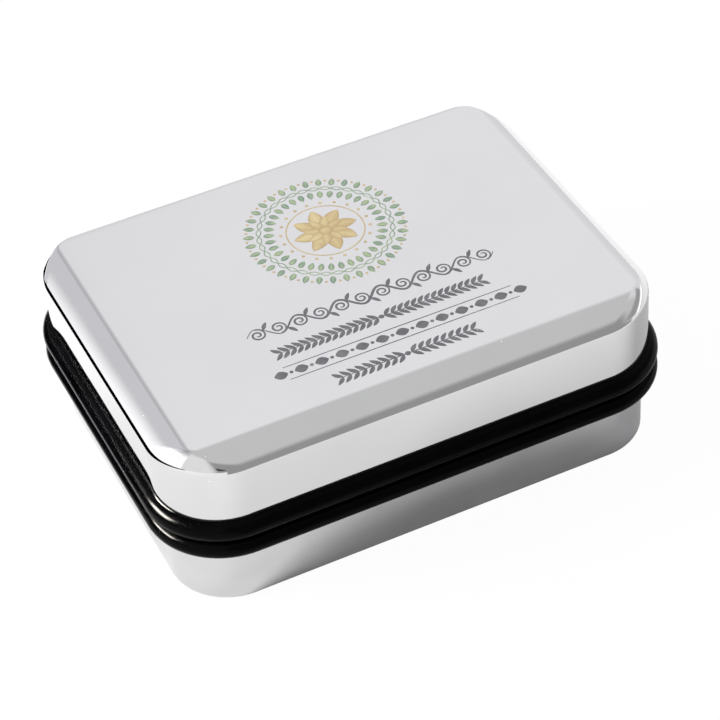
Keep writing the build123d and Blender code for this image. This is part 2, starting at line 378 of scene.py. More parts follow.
planSteps = {"corner": 36, "side": 30}
stripSteps = {"corner": 3, "side": 6}


def planStations(steps):
    # stations anticlockwise round a rounded rectangle, as three rows: X and Y of the arc's centre, from
    # -1 to 1, and the angle on the arc; along a side the centre goes from one corner to the next
    arc = np.linspace(0, 1, steps["corner"] + 1)
    side = np.linspace(0, 1, steps["side"] + 1)[1:-1]
    quarter = np.arange(4)[:, None]
    place = (quarter + np.concatenate([0 * arc, side])).ravel()
    angle = np.pi / 2 * (quarter + np.concatenate([arc, 0 * side + 1])).ravel()
    centreX = np.interp(place, range(5), (1, -1, -1, 1, 1))
    centreY = np.interp(place, range(5), (1, 1, -1, -1, 1))
    return centreX, centreY, angle


stations = planStations(planSteps)
stripStations = planStations(stripSteps)


def planRing(halfX, halfY, corner, places=stations):
    # one ring of (x, y) for each row: centre of the corner's arc + corner * (cos, sin)
    halfX, halfY, corner = (np.asarray(v, float)[:, None] for v in (halfX, halfY, corner))
    centreX, centreY, angle = places
    return (centreX * (halfX - corner) + corner * np.cos(angle),
            centreY * (halfY - corner) + corner * np.sin(angle))


def addTube(name, points, poles, flip, *rest):
    # closed skin: rows of points joined round and along, with a pole at each end
    rows, columns = points.shape[:2]
    index = np.arange(rows * columns).reshape(rows, columns)
    faces = quadsOf(index, True).tolist()
    pole = np.full(columns, index.size)
    faces += np.stack([pole, index[0], np.roll(index[0], -1)], -1).tolist()
    faces += np.stack([index[-1], pole + 1, np.roll(index[-1], -1)], -1).tolist()
    if flip:
        faces = [face[::-1] for face in faces]
    return addPiece(name, np.concatenate([points.reshape(-1, 3), poles]), faces, *rest)


def ringShell(name, half, inset, corner, height, fan, flip, *rest):
    # rings drawn in by their inset from the half sizes, each at its height; the first and the last
    # run in to a pole in the middle by fan steps
    shares = np.linspace(0, 1, fan, endpoint=False)[1:]
    sizes = [np.concatenate([row[0] * shares, row, row[-1] * shares[::-1]])
             for row in (half[0] - inset, half[1] - inset, corner)]
    x, y = planRing(*sizes)
    height = np.pad(height, len(shares), "edge")
    points = np.stack([x, y, np.broadcast_to(height[:, None], x.shape)], -1)
    return addTube(name, points, [[0, 0, height[0]], [0, 0, height[-1]]], flip, *rest)


# Materials

def newMaterial(name, values):
    # a material with its Principled shader, which gets the plain values
    material = bpy.data.materials.new(name)
    material.use_nodes = True
    shader = material.node_tree.nodes["Principled BSDF"]
    for socket, value in values.items():
        shader.inputs[socket].default_value = value
    return material, NodeMaker(material.node_tree), shader


detailSockets = ("Wave Scale", "Wave Depth", "Grain Scale", "Grain Depth", "Roughness", "Roughness Spread")
waveDetail = (1.5, 0.4)        # detail and roughness of the noise
grainDetail = 3.0


def makeSurfaceGroup():
    # shared finish detail, soft waves and fine grain:
    # height = waves * wave depth + grain * grain depth, in metres
    tree, maker, given = newGroup("surfaceDetail", "Vector", detailSockets, ["Height", "Roughness", "Mottle"])
    waves = maker.noise(given["Vector"], given["Wave Scale"], *waveDetail)
    grain = maker.noise(given["Vector"], given["Grain Scale"], grainDetail)
    height = maker.math("ADD", maker.math("MULTIPLY", waves, given["Wave Depth"]),
                        maker.math("MULTIPLY", grain, given["Grain Depth"]))
    spread = maker.math("MULTIPLY", maker.math("SUBTRACT", grain, 0.5), given["Roughness Spread"])
    roughness = maker.math("ADD", given["Roughness"], spread)
    maker.add("NodeGroupOutput", {"Height": height, "Roughness": roughness, "Mottle": waves})
    return tree


surfaceDetail = makeSurfaceGroup()


def objectPlace(maker, stretch=(1.0, 1.0, 1.0)):
    # Object coordinates in metres, each axis multiplied by its stretch
    place = maker.add("ShaderNodeTexCoord").outputs["Object"]
    return maker.add("ShaderNodeMapping", {"Vector": place, "Scale": stretch}).outputs[0]


def detailed(maker, shader, place, values, threads=None):
    # places the shared detail in a material, feeds its bump and roughness, and gives its mottle;
    # threads are a height that is added to the detail's own
    inputs = dict(zip(detailSockets, values))
    group = maker.add("ShaderNodeGroup", {"Vector": place, **inputs}, node_tree=surfaceDetail)
    height = group.outputs["Height"]
    if threads is not None:
        height = maker.math("ADD", threads, height)
    maker.bump(shader, height)
    maker.feed(shader.inputs["Roughness"], group.outputs["Roughness"])
    return group.outputs["Mottle"]


# Finishes of the pieces that aren't woven: two tones, where the slow mottle passes from one to the
# other, stretch of the pattern along X, Y and Z, and the detail: scale per metre and depth in metres
# of the waves and of the grain, roughness and its spread
finishes = {
    "chromePlate": {
        "tones": ((0.664, 0.664, 0.672), (0.652, 0.652, 0.660)), "mottle": (0.35, 0.75),
        "stretch": (1, 1, 1), "detail": (75, 2.4e-5, 2500, 1.2e-7, 0.035, 0.02),
        "shader": {"Metallic": 1.0},
    },
    "chromeBase": {
        "tones": ((0.672, 0.672, 0.680), (0.632, 0.632, 0.640)), "mottle": (0.35, 0.68),
        "stretch": (1, 1, 1.6), "detail": (110, 2.8e-5, 2500, 1.6e-7, 0.045, 0.03),
        "shader": {"Metallic": 1.0},
    },
    "blackPlastic": {
        "tones": ((0.0006, 0.0006, 0.0008), (0.0012, 0.0012, 0.0016)), "mottle": (0.3, 0.7),
        "stretch": (1, 1, 1), "detail": (120, 8e-6, 1800, 6e-7, 0.17, 0.08),
        "shader": {"Specular IOR Level": 0.034},
    },
    "hingeSteel": {
        "tones": ((0.56, 0.55, 0.53), (0.40, 0.39, 0.38)), "mottle": (0.35, 0.65),
        "stretch": (0.03, 1, 1), "detail": (4000, 2e-6, 9000, 8e-7, 0.34, 0.2),
        "shader": {"Metallic": 1.0},
    },
    "rivetSteel": {
        "tones": ((0.68, 0.67, 0.65), (0.52, 0.51, 0.50)), "mottle": (0.35, 0.65),
        "stretch": (1, 1, 1), "detail": (900, 6e-6, 6000, 6e-7, 0.28, 0.15),
        "shader": {"Metallic": 1.0},
    },
    "springSteel": {
        "tones": ((0.40, 0.41, 0.44), (0.22, 0.24, 0.30)), "mottle": (0.3, 0.7),
        "stretch": (1, 0.05, 0.05), "detail": (3000, 2e-6, 8000, 5e-7, 0.26, 0.15),
        "shader": {"Metallic": 1.0},
    },
    "greyBoard": {
        "tones": ((0.36, 0.34, 0.30), (0.26, 0.25, 0.22)), "mottle": (0.35, 0.65),
        "stretch": (0.3, 1, 1), "detail": (900, 3e-5, 3500, 1.4e-5, 0.9, 0.1),
        "shader": {"Specular IOR Level": 0.2},
    },
    "foamBlock": {
        "tones": ((0.17, 0.17, 0.18), (0.10, 0.10, 0.11)), "mottle": (0.4, 0.6),
        "stretch": (1, 1, 1), "detail": (1500, 1.6e-4, 5000, 3e-5, 0.95, 0.05),
        "shader": {"Specular IOR Level": 0.1},
    },
    "feltPile": {
        "tones": ((0.030, 0.030, 0.034), (0.012, 0.012, 0.014)), "mottle": (0.35, 0.65),
        "stretch": (1, 1, 1), "detail": (700, 8e-5, 6000, 4e-5, 0.95, 0.05),
        "shader": {"Sheen Weight": 0.2, "Sheen Roughness": 0.6, "Specular IOR Level": 0.1},
    },
    "velvetPile": {
        "tones": ((0.008, 0.008, 0.0095), (0.005, 0.005, 0.006)), "mottle": (0.3, 0.7),
        "stretch": (1, 1, 1), "detail": (260, 3e-5, 7000, 1.6e-5, 0.85, 0.1),
        "shader": {"Sheen Weight": 0.12, "Sheen Roughness": 0.4, "Specular IOR Level": 0.05},
    },
}


def makeFinish(name, look):
    # two tones mixed by the slow mottle of the shared detail, whose waves and grain make the bump
    material, maker, shader = newMaterial(name, look["shader"])
    mottle = detailed(maker, shader, objectPlace(maker, look["stretch"]), look["detail"])
    tone = maker.mix(maker.ramp(mottle, *look["mottle"]), *look["tones"])
    maker.feed(shader.inputs["Base Color"], tone)
    return material


threadDip = 0.4                # how far a thread dips where it passes under another


def makeWeaveGroup():
    # plain weave: with a = |sin(pi * along)| and b = |sin(pi * across)| in threads, and s the product
    # of the two sines, height = max(a * (1 - dip + dip s), b * (1 - dip - dip s))
    tree, maker, given = newGroup("clothWeave", "", ("Along", "Across", "Thread"), ["Height"])
    waves = []
    for name in ("Along", "Across"):
        turns = maker.math("MULTIPLY", maker.math("DIVIDE", given[name], given["Thread"]), float(np.pi))
        waves.append(maker.math("SINE", turns))
    lift = maker.math("MULTIPLY", maker.math("MULTIPLY", *waves), threadDip)
    threads = []
    for wave, operation in zip(waves, ("ADD", "SUBTRACT")):
        reach = maker.math(operation, 1 - threadDip, lift)
        threads.append(maker.math("MULTIPLY", maker.math("ABSOLUTE", wave), reach))
    maker.add("NodeGroupOutput", {"Height": maker.math("MAXIMUM", *threads)})
    return tree


clothWeave = makeWeaveGroup()

# Woven cloths: thread in metres, tones of the hollows (darker, as painted shade) and of the thread tops,
# depth of the weave in metres, which sums of coordinates run along and across the cloth, and the detail as
# above
cloths = {
    "liningCloth": {
        "thread": 0.00022, "tones": ((0.008, 0.008, 0.009), (0.034, 0.034, 0.038)), "depth": 6e-5,
        "along": "XY", "across": "Z", "detail": (300, 4e-5, 5000, 4e-6, 0.85, 0.15),
        "shader": {"Sheen Weight": 0.1, "Specular IOR Level": 0.04},
    },
    "blackSatin": {
        "thread": 0.00013, "tones": ((0.007, 0.007, 0.008), (0.018, 0.018, 0.020)), "depth": 8e-6,
        "along": "X", "across": "YZ", "detail": (300, 4e-5, 5000, 4e-6, 0.34, 0.15),
        "shader": {"Sheen Weight": 0.15, "Anisotropic": 0.5, "Specular IOR Level": 0.6},
    },
    "ribbonSatin": {
        "thread": 0.00016, "tones": ((0.010, 0.010, 0.011), (0.026, 0.026, 0.028)), "depth": 1e-5,
        "along": "Y", "across": "XZ", "detail": (300, 4e-5, 5000, 4e-6, 0.3, 0.15),
        "shader": {"Sheen Weight": 0.15, "Anisotropic": 0.6, "Specular IOR Level": 0.6},
    },
}
# painted shade: where the weave is low the cloth takes the darker hollow tone; the mottle makes this contrast
# stronger or weaker in patches
threadShadeAndWear = (0.1, 0.8, 0.7, 1.2)   # two levels of the mottle, and the strength of the threads' tone there


def makeCloth(name, look):
    # woven threads over the shared mottle; painted shade: the hollows between the threads are painted darker
    # than the thread tops
    material, maker, shader = newMaterial(name, look["shader"])
    place = objectPlace(maker)
    axes = maker.add("ShaderNodeSeparateXYZ", {"Vector": place}).outputs
    runs = {"Thread": look["thread"]}
    for run, letters in (("Along", look["along"]), ("Across", look["across"])):
        runs[run] = axes[letters[0]]
        for letter in letters[1:]:
            runs[run] = maker.math("ADD", runs[run], axes[letter])
    weave = maker.add("ShaderNodeGroup", runs, node_tree=clothWeave).outputs["Height"]
    mottle = detailed(maker, shader, place, look["detail"], maker.math("MULTIPLY", weave, look["depth"]))
    # painted shade: the weave's height, varied by the mottle, mixes from the dark hollow tone to the lighter
    # thread tone
    shadeAndWear = maker.math("MULTIPLY", weave, maker.ramp(mottle, *threadShadeAndWear))
    maker.feed(shader.inputs["Base Color"], maker.mix(shadeAndWear, *look["tones"]))
    return material


# Inks of the print: colours at the rim and on the body of each shape, and how far a slow cloud
# of a second colour tints them
inks = {
    "greenInk": {"rim": (0.150, 0.200, 0.140), "body": (0.255, 0.310, 0.200),
                 "cloud": (0.165, 0.225, 0.180), "cloudScale": 420.0, "vein": 0.35},
    "goldInk": {"rim": (0.330, 0.245, 0.135), "body": (0.450, 0.375, 0.215),
                "cloud": (0.390, 0.305, 0.175), "cloudScale": 300.0, "vein": 0.15},
    "greyInk": {"rim": (0.118, 0.118, 0.127), "body": (0.104, 0.104, 0.112),
                "cloud": (0.126, 0.126, 0.134), "cloudScale": 600.0, "vein": 0.0},
}
inkCoat = {
    "cloudDetail": 2.0,
    "cloud": (0.4, 0.62),      # levels of the noise where the cloud's colour begins and is full
    "rim": (0.2, 0.55),        # distances from the middle line, as a share of the width
    "vein": (0.14, 0.03),
    "pale": (1.35, 0.03),      # the vein's colour is the body's times the first plus the second
    "roughness": (0.3, 0.7, 0.5, 0.62),
    "grain": 4e-6,             # metres
    "shader": {"Specular IOR Level": 0.06},
}


def makeInk(name, look, coat=inkCoat):
    # the shape's own UV runs along it (U, 0 to 1) and across it (V, 0 to 1 with the middle at 0.5):
    # body towards the middle, rim at the edge, and a pale vein along the middle line
    material, maker, shader = newMaterial(name, coat["shader"])
    uv = maker.add("ShaderNodeUVMap", uv_map="shapeUv").outputs[0]
    axes = maker.add("ShaderNodeSeparateXYZ", {"Vector": uv}).outputs
    off = maker.math("ABSOLUTE", maker.math("SUBTRACT", axes["Y"], 0.5))
    cloud = maker.noise(objectPlace(maker), look["cloudScale"], coat["cloudDetail"])
    colour = maker.mix(maker.ramp(cloud, *coat["cloud"]), look["body"], look["cloud"])
    colour = maker.mix(maker.ramp(off, *coat["rim"]), colour, look["rim"])
    pale = [coat["pale"][0] * v + coat["pale"][1] for v in look["body"]]
    vein = maker.math("MULTIPLY", maker.ramp(off, *coat["vein"]), look["vein"])
    maker.feed(shader.inputs["Base Color"], maker.mix(vein, colour, pale))
    maker.bump(shader, maker.math("MULTIPLY", cloud, coat["grain"]))
    maker.feed(shader.inputs["Roughness"], maker.ramp(cloud, *coat["roughness"]))
    return material


# Lid and base shells

lidForm = {
    "sheet": 0.5,
    "corner": 12.4,            # radius of the walls
    "panelCorner": 0.35,       # radius of the flat panel's corners
    "wallTop": 29.45,          # where the shoulder starts
    "shoulderRadius": 1.2,
    "shoulderSlope": 43.0,     # slope where the shoulder meets the bevel, degrees
    "creaseSlope": 17.0,       # slope where the bevel meets the soft crease
    "creaseRadius": 4.0,
    "inkRoom": 0.03,           # the panel lies this far under the CAD model's, for the print
    "rimRound": 0.18,
    "steps": {"panel": 12, "crease": 12, "bevel": 26, "shoulder": 16, "wall": 9, "rim": 9},
}


def bevelCurve(form, slope, rise):
    # inset and height over the wall at a slope, along three arcs that join without a kink:
    # inset = sum of radius * (sin(first slope) - sin(last slope)), and
    # height = sum of radius * (cos(last slope) - cos(first slope))
    shoulder = np.radians(form["shoulderSlope"])
    crease = np.radians(form["creaseSlope"])
    radius = form["shoulderRadius"]
    soft = form["creaseRadius"]
    left = rise - radius * np.cos(shoulder) - soft * (1 - np.cos(crease))
    middle = left / (np.cos(crease) - np.cos(shoulder))
    inset = 0.0
    height = 0.0
    arcs = ((radius, np.pi / 2, shoulder), (middle, shoulder, crease), (soft, crease, 0.0))
    for size, start, end in arcs:
        reached = np.clip(slope, end, start)
        inset = inset + size * (np.sin(start) - np.sin(reached))
        height = height + size * (np.cos(reached) - np.cos(start))
    return inset, height


def wallRows(form, start, rim, up):
    # inset and height of a straight wall from its start to the rim, round that and back inside:
    # inset = sheet / 2 * (1 - cos(turn)), height = rim - up * round * (1 - sin(turn))
    turn = np.linspace(0, np.pi, form["steps"]["rim"])
    wall = np.linspace(start, rim - up * form["rimRound"], form["steps"]["wall"])[1:-1]
    inset = [0 * wall, form["sheet"] / 2 * (1 - np.cos(turn)), 0 * wall + form["sheet"]]
    height = [wall, rim - up * form["rimRound"] * (1 - np.sin(turn)), wall[::-1]]
    return np.stack([np.concatenate(inset), np.concatenate(height)])


def makeLidShell(form, material):
    # rows run from the middle of the panel out, down the wall, round the rim and back inside
    steps = form["steps"]
    crease, shoulder = np.radians([form["creaseSlope"], form["shoulderSlope"]])
    slopes = np.concatenate([
        np.linspace(0, crease, steps["crease"], endpoint=False),
        np.linspace(crease, shoulder, steps["bevel"], endpoint=False),
        np.linspace(shoulder, np.pi / 2, steps["shoulder"]),
    ])
    inset, height = bevelCurve(form, slopes, lidHigh[2] - form["inkRoom"] - form["wallTop"])
    cornerDrop = (form["corner"] - form["panelCorner"]) / inset[0]

    def skin(depth):
        # inset, corner and height of the bevel, moved in along its normal by a depth
        corner = form["corner"] - cornerDrop * inset - depth * np.sin(slopes)
        return np.stack([inset + depth * np.sin(slopes), np.maximum(corner, form["panelCorner"]),
                         form["wallTop"] + height - depth * np.cos(slopes)])

    wallInset, wallHeight = wallRows(form, form["wallTop"], lidLow[2], -1)
    wall = np.stack([wallInset, form["corner"] - wallInset, wallHeight])
    rows = np.concatenate([skin(0.0), wall, skin(form["sheet"])[:, ::-1]], 1)
    ringShell("lid_shell_pressed", lidHigh, *rows, steps["panel"], False,
              material, "lid", "chrome_plate", ["lid_shell"])


baseForm = {
    "sheet": 0.5,
    "corner": 10.8,
    "edge": 0.6,               # outer radius of the bottom edge
    "innerEdge": 0.2,
    "rimRound": 0.15,
    "steps": {"floor": 10, "edge": 10, "wall": 8, "rim": 9},
}


def makeBaseShell(form, material):
    # rows run from the middle of the underside out, up the wall, over the rim and down inside
    half = nodeBox("base_shell")[1]
    turn = np.linspace(0, np.pi / 2, form["steps"]["edge"])

    def edge(radius, depth):
        # inset and height round the bottom edge, at a depth inside it
        return depth + radius * (1 - np.stack([np.sin(turn), np.cos(turn)]))

    inner = edge(form["innerEdge"], form["sheet"])[:, ::-1]
    wall = wallRows(form, form["edge"], half[2], 1)
    inset, height = np.concatenate([edge(form["edge"], 0.0), wall, inner], 1)
    ringShell("base_shell_pressed", half, inset, form["corner"] - inset, height, form["steps"]["floor"],
              True, material, "base", "chrome_plate", ["base_shell"])


# Pads: velvet over foam in the base, gathered satin over foam in the lid

def outlineDepth(x, y, halfX, halfY, corner):
    # distance inward from the outline of a rounded rectangle
    overX = np.abs(x) - (halfX - corner)
    overY = np.abs(y) - (halfY - corner)
    beyond = np.hypot(np.maximum(overX, 0), np.maximum(overY, 0))
    return corner - beyond - np.minimum(np.maximum(overX, overY), 0)


def padSamples(half, soft, steps):
    # places from -half to half, close together where the pad rounds over:
    # distance from the edge = soft * (1 - sin(turn))
    near = soft * (1 - np.sin(np.linspace(0, np.pi / 2, steps["edge"] + 1)))
    middle = np.linspace(soft - half, half - soft, steps["middle"] + 1)[1:-1]
    return np.concatenate([near[::-1] - half, middle, half - near])


def makePad(name, node, form, relief, material, body, slot):
    # face of the pad: height = thickness - round-over - relief(x, y, depth from the outline);
    # the sides carry the outline down to the back, and the under rows turn it inwards there
    low, high = nodeBox(node)
    halfX, halfY, corner = high[0], high[1], form["corner"]
    rows = padSamples(halfY, form["soft"], form["stepsY"])
    across = padSamples(halfX, form["soft"], form["stepsX"]) / halfX
    bent = np.maximum(np.abs(rows) - (halfY - corner), 0)
    width = halfX - corner + np.sqrt(np.maximum(corner ** 2 - bent ** 2, 0))
    x = across[None, :] * width[:, None]
    y = np.broadcast_to(rows[:, None], x.shape)
    depth = np.maximum(outlineDepth(x, y, halfX, halfY, corner), 0)
    share = np.clip(depth / form["soft"], 0, 1)
    drop = form["soft"] * (1 - np.sqrt(share * (2 - share)))
    thickness = high[2] - low[2]
    face = np.stack([x, y, thickness - drop - relief(form, x, y, depth, halfX, halfY)], -1)

    index = np.arange(x.size).reshape(x.shape)
    edge = np.concatenate([index[0, :-1], index[:-1, -1], index[-1, :0:-1], index[:0:-1, 0]])
    border = face.reshape(-1, 3)[edge]
    fall = np.linspace(1, 0, form["sideRows"] + 1)[1:]
    scales = np.concatenate([np.ones(len(fall)), form["under"]])
    heights = np.concatenate([fall, np.zeros(len(form["under"]))])
    rings = border[None] * np.stack([scales, scales, heights], -1)[:, None]
    ringIndex = x.size + np.arange(len(scales) * len(edge)).reshape(len(scales), -1)
    ringIndex = np.concatenate([edge[None], ringIndex])
    points = np.concatenate([face.reshape(-1, 3), rings.reshape(-1, 3), [[0, 0, 0]]])
    faces = quadsOf(index)[:, ::-1].tolist() + quadsOf(ringIndex, True).tolist()
    if form["closed"]:
        last = ringIndex[-1]
        middle = np.full(len(last), len(points) - 1)
        faces += np.stack([last, middle, np.roll(last, -1)], -1).tolist()
    else:
        points = points[:-1]
    if form["facing"] > 0:
        points[:, 2] += low[2]
    else:
        points[:, 2] = high[2] - points[:, 2]
        faces = [face[::-1] for face in faces]
    obj = addPiece(name, points, faces, material, body, slot, [node])
    if not form["closed"]:
        thicken(obj, form["cloth"])


def crown(form, x, y, halfX, halfY):
    # fall from the middle of the pad to its edges, as the product of two parabolas
    return form["crown"] * (1 - (1 - (x / halfX) ** 2) * (1 - (y / halfY) ** 2))


def insertRelief(form, x, y, depth, halfX, halfY):
    # crown and two slits for the chain: each a groove, deepest along its middle line,
    # fall = slit depth * exp(-2 (across / half width)^2), faded out at its ends
    total = crown(form, x, y, halfX, halfY)
    for side in (-1, 1):
        turn = np.radians(side * form["slitTurn"])
        stepX = x - side * form["slitX"]
        stepY = y - form["slitY"]
        along = np.abs(stepX * np.cos(turn) - stepY * np.sin(turn))
        across = stepX * np.sin(turn) + stepY * np.cos(turn)
        end = np.clip((form["slitLength"] / 2 - along) / form["slitFade"], 0, 1)
        groove = np.exp(-2 * (across / form["slitHalfWidth"]) ** 2)
        total = total + form["slitDepth"] * groove * np.sqrt(end)
    return total


def satinRelief(form, x, y, depth, halfX, halfY):
    # crown and gathers: pleats run in from the seam, deepest a little way inside it,
    # fall = pleat depth * (1 - cos(phase)) / 2 * fade(depth)
    angle = np.arctan2(y / halfY, x / halfX)
    phase = form["pleats"] * angle
    for size, waves, shift in form["wanders"]:
        phase = phase + size * np.sin(waves * angle + shift)
    size, waves, shift = form["reachWander"]
    reach = form["pleatReach"] * (1 + size * np.sin(waves * angle + shift))
    fade = np.exp(-(depth / reach) ** 2) * np.clip(depth / form["pleatStart"], 0, 1)
    return crown(form, x, y, halfX, halfY) + form["pleatDepth"] * (1 - np.cos(phase)) / 2 * fade


insertForm = {
    "soft": 2.5, "corner": 7.3, "crown": 0.5, "facing": 1, "cloth": 0.45, "fill": 0.9,
    "slitX": 29.55, "slitY": 18.85, "slitTurn": 45.0, "slitLength": 14.0, "slitFade": 1.6,
    "slitHalfWidth": 0.9, "slitDepth": 4.0,
    "stepsX": {"edge": 10, "middle": 170}, "stepsY": {"edge": 10, "middle": 124},
    "sideRows": 8, "under": [0.97, 0.9], "closed": False,
}
insertFoamForm = {**insertForm, "soft": 2.0, "corner": 6.8, "slitDepth": 4.2, "fill": 1.0,
                  "stepsX": {"edge": 6, "middle": 110}, "stepsY": {"edge": 6, "middle": 80},
                  "sideRows": 4, "under": [0.66, 0.33], "closed": True}
satinForm = {
    "soft": 2.2, "corner": 9.2, "crown": 0.35, "facing": -1, "cloth": 0.3, "fill": 0.7,
    "pleats": 84, "pleatReach": 6.5, "pleatStart": 1.2, "pleatDepth": 0.5,
    # size, waves round the pad and shift of what bends the pleats and varies their reach
    "wanders": [(1.4, 5, 1), (0.5, 11, 0)], "reachWander": (0.25, 7, 2),
    "stepsX": {"edge": 10, "middle": 206}, "stepsY": {"edge": 10, "middle": 152},
    "sideRows": 5, "under": [0.98, 0.92], "closed": False,
}
satinFoamForm = {**satinForm, "soft": 1.9, "corner": 8.85, "pleatDepth": 0.4, "fill": 1.0,
                 "stepsX": {"edge": 6, "middle": 110}, "stepsY": {"edge": 6, "middle": 80},
                 "sideRows": 3, "under": [0.66, 0.33], "closed": True}

feltForm = {
    "corner": 10.25, "round": 0.3, "flat": (0.0666, 0.088), "area": 0.005771,
    "steps": {"plate": 8, "edge": 9},
}


def makeFelt(form, material):
    # flat plate with a rounded edge: inset = round * (1 - sin(turn)), with the thickness between
    low, high = nodeBox("base_felt")
    turn = np.linspace(0, np.pi, form["steps"]["edge"])
    inset = form["round"] * (1 - np.sin(turn))
    height = (high[2] + low[2]) / 2 - (high[2] - low[2]) / 2 * np.cos(turn)
    obj = ringShell("base_felt_sheet", high, inset, form["corner"] - inset, height,
                    form["steps"]["plate"], True, material, "base", "felt", ["base_felt"])


# Ribbon and spring: a flat section carried along a path

def makeStrip(name, path, sideAxis, halfWidth, form, *rest):
    # section = rounded rectangle across the strip; point = path + side * across + normal * through,
    # where normal = side x tangent
    tangent = np.gradient(path, axis=0)
    tangent /= np.linalg.norm(tangent, axis=1)[:, None]
    side = np.array(sideAxis, float)
    normal = np.cross(side, tangent)
    section = planRing([halfWidth], [form["thickness"] / 2], [form["roundness"]], stripStations)
    across, through = (ring[0][:, None] for ring in section)
    points = path[:, None] + side * across + normal[:, None] * through
    return addTube(name, points, path[[0, -1]], True, *rest)


def around(centre, radius, turn):
    # x and y of points at a radius from a centre
    return centre[0] + radius * np.cos(turn), centre[1] + radius * np.sin(turn)


ribbonForm = {
    "thickness": 0.3, "roundness": 0.1, "inset": 0.04, "bend": 2.75, "halfWidth": 3.95,
    "lift": 0.12, "ripple": (0.6, 9), "steps": {"side": 14, "bend": 16, "top": 26},
}


def makeRibbon(form, material):
    # up the side of the insert, over its rounded edge and a little way along the top, where
    # height over it = lift * share^2 * (1 + ripple * sin(waves * share))
    low, high = nodeBox("insert_ribbon")
    steps = form["steps"]
    outer = high[0] - form["inset"] - form["thickness"] / 2
    top = nodeBox("insert_velvet")[1][2] + form["thickness"] / 2 + form["inset"]
    centre = (outer - form["bend"], top - form["bend"])
    rise = np.linspace(low[2] + form["inset"], centre[1], steps["side"], endpoint=False)
    bendX, bendZ = around(centre, form["bend"], np.linspace(0, np.pi / 2, steps["bend"]))
    share = np.linspace(0, 1, steps["top"] + 1)[1:]
    run = centre[0] + (low[0] - centre[0]) * share
    ripple, waves = form["ripple"]
    lift = form["lift"] * share ** 2 * (1 + ripple * np.sin(waves * share))
    x = np.concatenate([outer + 0 * rise, bendX, run])
    path = np.stack([x, 0 * x, np.concatenate([rise, bendZ, top + lift])], -1)
    makeStrip("pull_ribbon", path, (0, 1, 0), form["halfWidth"], form,
              material, "base", "lining_cloth", ["insert_ribbon"])


springForm = {
    "lidEnd": (32.55, 18.15), "bow": (30.2, 15.05), "baseEnd": (31.3, 11.95),
    "thickness": 0.3, "roundness": 0.1, "steps": 40,
}


def makeSpring(form, material):
    # bowed strip whose inner face lies on the circle through its two ends and its bow, in the
    # plane of Y and Z; it bends from the base to the lid between its ends
    low, high = nodeBox("snap_spring")
    corners = np.array([form["lidEnd"], form["bow"], form["baseEnd"]])
    squares = (corners ** 2).sum(1)
    centre = np.linalg.solve(2 * (corners[1:] - corners[0]), squares[1:] - squares[0])
    radius = np.linalg.norm(corners[0] - centre) + form["thickness"] / 2
    turns = np.arctan2(*(corners - centre).T[::-1]) % (2 * np.pi)
    y, z = around(centre, radius, np.linspace(turns[0], turns[2], form["steps"]))
    obj = makeStrip("bowed_spring", np.stack([0 * y, y, z], -1), (1, 0, 0), high[0], form,
                    material, "", "spring_steel", ["snap_spring"])
    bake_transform(obj)


# Print on the lid: thin ink in a generic design. Places are millimetres on the panel, from its middle.
# Each function gives blocks of shapes: grids of points, and the two UV values of each point.

def stacked(*values):
    # the values as arrays of one length, each entry ready to meet a grid of its own
    arrays = np.broadcast_arrays(*(np.atleast_1d(np.asarray(value, float)) for value in values))
    return [array[:, None, None] for array in arrays]


def withUv(points, u, v):
    # the points, and one pair of UV values for each of them
    return points, np.broadcast_to(np.stack(np.broadcast_arrays(u, v), -1), points.shape)


def leafShapes(x, y, turn, length, width, steps=(7, 5), skew=0.85, bend=0.2):
    # one pointed leaf for each entry: along u = 0..1 and across v = -1..1, with
    # half width = width / 2 * (sin(pi * u^skew)^full + blunt) and bent aside by bend * u (1 - u) * length
    x, y, turn, length, width = stacked(x, y, turn, length, width)
    u = np.linspace(0, 1, steps[0])[:, None]
    v = np.linspace(-1, 1, steps[1])[None, :]
    spread = np.abs(np.sin(np.pi * u ** skew)) ** printForm["full"] + printForm["blunt"]
    along = length * u
    aside = width / 2 * spread * v + length * bend * u * (1 - u)
    points = np.stack([x + along * np.cos(turn) - aside * np.sin(turn),
                       y + along * np.sin(turn) + aside * np.cos(turn)], -1)
    return withUv(points, u, (v + 1) / 2)


def discShapes(x, y, radius, count=7):
    # one disc for each entry, a square grid bent round: x = u sqrt(1 - v^2 / 2), y = v sqrt(1 - u^2 / 2);
    # across the UV map the edge is at V = 1
    x, y, radius = stacked(x, y, radius)
    u, v = np.meshgrid(*[np.linspace(-1, 1, count)] * 2, indexing="ij")
    roundX = u * np.sqrt(1 - v ** 2 / 2)
    roundY = v * np.sqrt(1 - u ** 2 / 2)
    points = np.stack([x + radius * roundX, y + radius * roundY], -1)
    return withUv(points, 0.5, 0.5 + 0.5 * np.hypot(roundX, roundY))


def strokeShapes(paths, width, taper=0.0):
    # a flat stroke along each path (strokes x points x 2); taper narrows it to its ends
    paths = np.asarray(paths, float)
    tangent = np.gradient(paths, axis=1)
    tangent /= np.linalg.norm(tangent, axis=2)[..., None]
    left = np.stack([-tangent[..., 1], tangent[..., 0]], -1)
    share = np.linspace(0, 1, paths.shape[1])[:, None]
    v = np.array([-1.0, 0.0, 1.0])
    aside = width / 2 * (1 - taper * (2 * share - 1) ** 2) * v
    return withUv(paths[:, :, None] + left[:, :, None] * aside[..., None], share, (v + 1) / 2)


def straightPath(left, right, y, steps):
    # evenly spaced points from left to right at one y
    return np.stack([np.linspace(left, right, steps), np.full(steps, y)], -1)


def turnsOf(count, shift=0.0):
    # directions evenly round a circle, moved on by a share of the step between them
    return 2 * np.pi * (np.arange(count) + shift) / count


